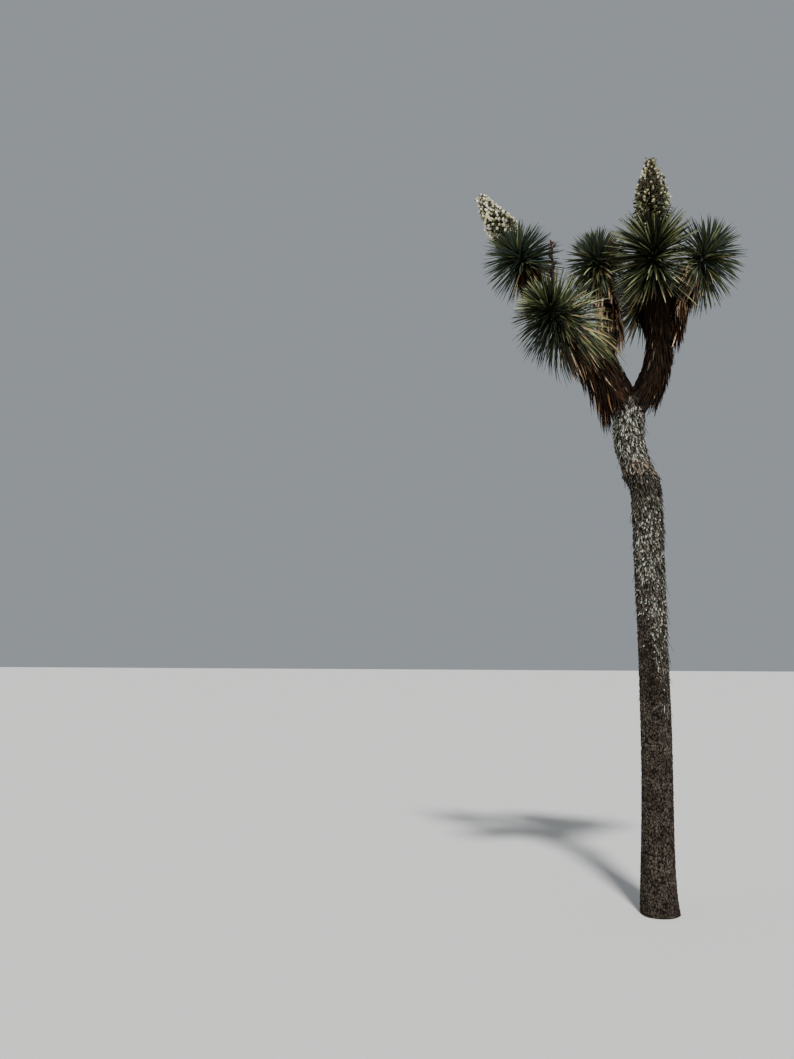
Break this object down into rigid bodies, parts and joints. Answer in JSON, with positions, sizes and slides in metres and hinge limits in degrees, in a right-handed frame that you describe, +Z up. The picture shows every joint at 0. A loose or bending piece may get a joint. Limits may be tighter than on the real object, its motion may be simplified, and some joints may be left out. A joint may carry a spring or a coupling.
{
  "type": "joshua tree",
  "caption": "Tall desert tree: a shaggy trunk forks into boughs that end in round heads of dagger leaves, with skirts of dead leaves and panicles of blossom.",
  "frame": {"origin": "centre of the flat cut through the trunk at ground level", "axes": "+Z up the tree, +X to the right and +Y away from the viewer in the front view"},
  "size_m": [1.7406, 1.2051, 4.6452],
  "materials": {
    "bark": "rough corky bark, plated low down and shaggy above",
    "leaf": "stiff leaf with a waxy sheen",
    "dead_leaf": "dry matt leaf",
    "blossom": "waxy petals",
    "fruit_stalk": "dry matt stalk"
  },
  "bodies": {
    "root": {"trunk": "bark", "bough_left": "bark", "bough_right": "bark", "limb_outer_left": "bark", "limb_centre": "bark", "limb_far_right": "bark", "limb_back": "bark", "head_right": "leaf", "head_outer_left": "leaf", "head_front_left": "leaf", "head_far_right": "leaf", "head_centre": "leaf", "head_back": "leaf", "skirt_left": "dead_leaf", "skirt_right": "dead_leaf", "skirt_outer_left": "dead_leaf", "skirt_centre": "dead_leaf", "skirt_far_right": "dead_leaf", "skirt_back": "dead_leaf", "panicle_left": "blossom", "panicle_right": "blossom", "fruit_stalk_left": "fruit_stalk", "fruit_stalk_centre": "fruit_stalk"}
  },
  "joints": []
}
